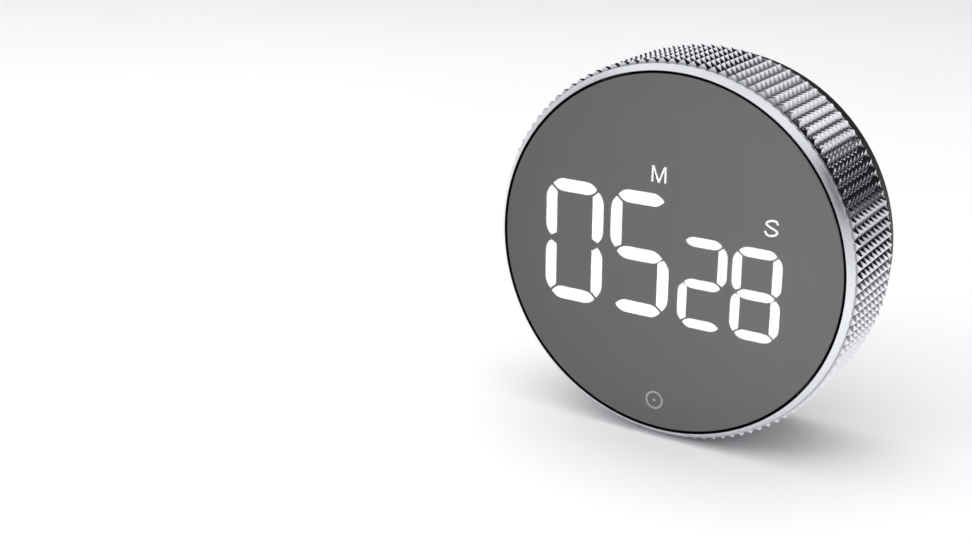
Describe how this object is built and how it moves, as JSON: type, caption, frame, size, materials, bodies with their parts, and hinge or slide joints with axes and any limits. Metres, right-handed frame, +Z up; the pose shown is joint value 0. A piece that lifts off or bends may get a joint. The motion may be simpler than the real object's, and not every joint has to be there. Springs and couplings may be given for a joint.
{
  "type": "twist-ring countdown kitchen timer",
  "caption": "Round countdown kitchen timer: a knurled metal ring turns to set the time, the lit display face presses in, and magnets hold the flat back to a metal door.",
  "frame": {"origin": "on the floor under the middle of the ring, where the timer stands on its knurl", "axes": "+Z up, display facing -Y, ring axis along Y with the magnetic back facing +Y, +X to the right when the display is read"},
  "size_m": [0.078, 0.0266, 0.078],
  "materials": {
    "ring_metal": "polished, with a pyramid knurl and a bright turned bezel",
    "smoked_lens": "polished, smoke grey",
    "icon_print": "screen print",
    "adhesive_foam": "matte",
    "inner_plastic": "fine spark texture",
    "cover_plastic": "fine spark texture",
    "pad_plastic": "satin",
    "display_black": "matte",
    "lit_diffuser": "translucent white, lit from behind",
    "unlit_diffuser": "translucent, unlit",
    "led_package": "clear moulded",
    "circuit_board": "solder mask",
    "chip_epoxy": "matte",
    "component_black": "matte",
    "buzzer_can": "moulded shell round an iron core",
    "capacitor_can": "drawn",
    "switch_metal": "stamped",
    "gear_plastic": "moulded",
    "glide_film": "smooth film",
    "magnet_plating": "nickel plated",
    "cell_jacket": "printed foil jacket",
    "contact_plating": "nickel plated",
    "lead_insulation": "smooth",
    "screw_steel": "zinc plated"
  },
  "bodies": {
    "housing": {"rear_cover": "cover_plastic", "chassis": "inner_plastic", "display_frame": "display_black", "lit_segments": "lit_diffuser", "dark_segments": "unlit_diffuser", "unit_marks": "lit_diffuser", "segment_leds": "led_package", "main_board": "circuit_board", "controller_chip": "chip_epoxy", "buzzer": "buzzer_can", "storage_capacitor": "capacitor_can", "press_switch_body": "switch_metal", "encoder_body": "switch_metal", "riser_board": "circuit_board", "volume_switch_body": "switch_metal", "front_glide_washer": "glide_film", "rear_glide_washer": "glide_film", "upper_magnet": "magnet_plating", "lower_magnet": "magnet_plating", "upper_magnet_pad": "pad_plastic", "lower_magnet_pad": "pad_plastic", "battery_cell_1": "cell_jacket", "battery_cell_2": "cell_jacket", "battery_cell_3": "cell_jacket", "battery_contacts": "contact_plating", "battery_springs": "contact_plating", "battery_leads": "lead_insulation", "cover_screws": "screw_steel", "board_screws": "screw_steel"},
    "knob_ring": {"knurled_ring": "ring_metal", "gear_carrier": "gear_plastic"},
    "lens_panel": {"front_lens": "smoked_lens", "press_icon": "icon_print", "lens_adhesive": "adhesive_foam", "lens_carrier": "inner_plastic"},
    "encoder_rotor": {"encoder_shaft": "switch_metal", "encoder_pinion": "gear_plastic"},
    "switch_plunger": {"press_switch_plunger": "component_black"},
    "volume_slider": {"volume_knob": "cover_plastic", "volume_lever": "component_black"},
    "battery_door": {"battery_door": "cover_plastic"}
  },
  "joints": [
    {"name": "knob_turn", "type": "hinge", "parent": "housing", "child": "knob_ring", "pos_m": [0, 0, 0.03899], "axis": [0, 1, 0], "continuous": true},
    {"name": "panel_press", "type": "slide", "parent": "housing", "child": "lens_panel", "axis": [0, 1, 0], "range_m": [0, 0.0004], "stiffness_N_per_m": 600, "springref_m": -0.0004},
    {"name": "switch_press", "type": "slide", "parent": "housing", "child": "switch_plunger", "axis": [0, 1, 0], "range_m": [0, 0.0004], "stiffness_N_per_m": 50, "springref_m": -0.0002},
    {"name": "encoder_turn", "type": "hinge", "parent": "housing", "child": "encoder_rotor", "pos_m": [0, 0, 0.00939], "axis": [0, 1, 0], "continuous": true},
    {"name": "volume_slide", "type": "slide", "parent": "housing", "child": "volume_slider", "axis": [0, 0, 1], "range_m": [0, 0.0027]},
    {"name": "battery_door_hinge", "type": "hinge", "parent": "housing", "child": "battery_door", "pos_m": [0, 0.0133, 0.05889], "axis": [1, 0, 0], "range_deg": [0, 55]}
  ],
  "couplings": [
    {"joint": "encoder_turn", "follows": "knob_turn", "ratio": 6.2857},
    {"joint": "switch_press", "follows": "panel_press", "ratio": 1}
  ]
}
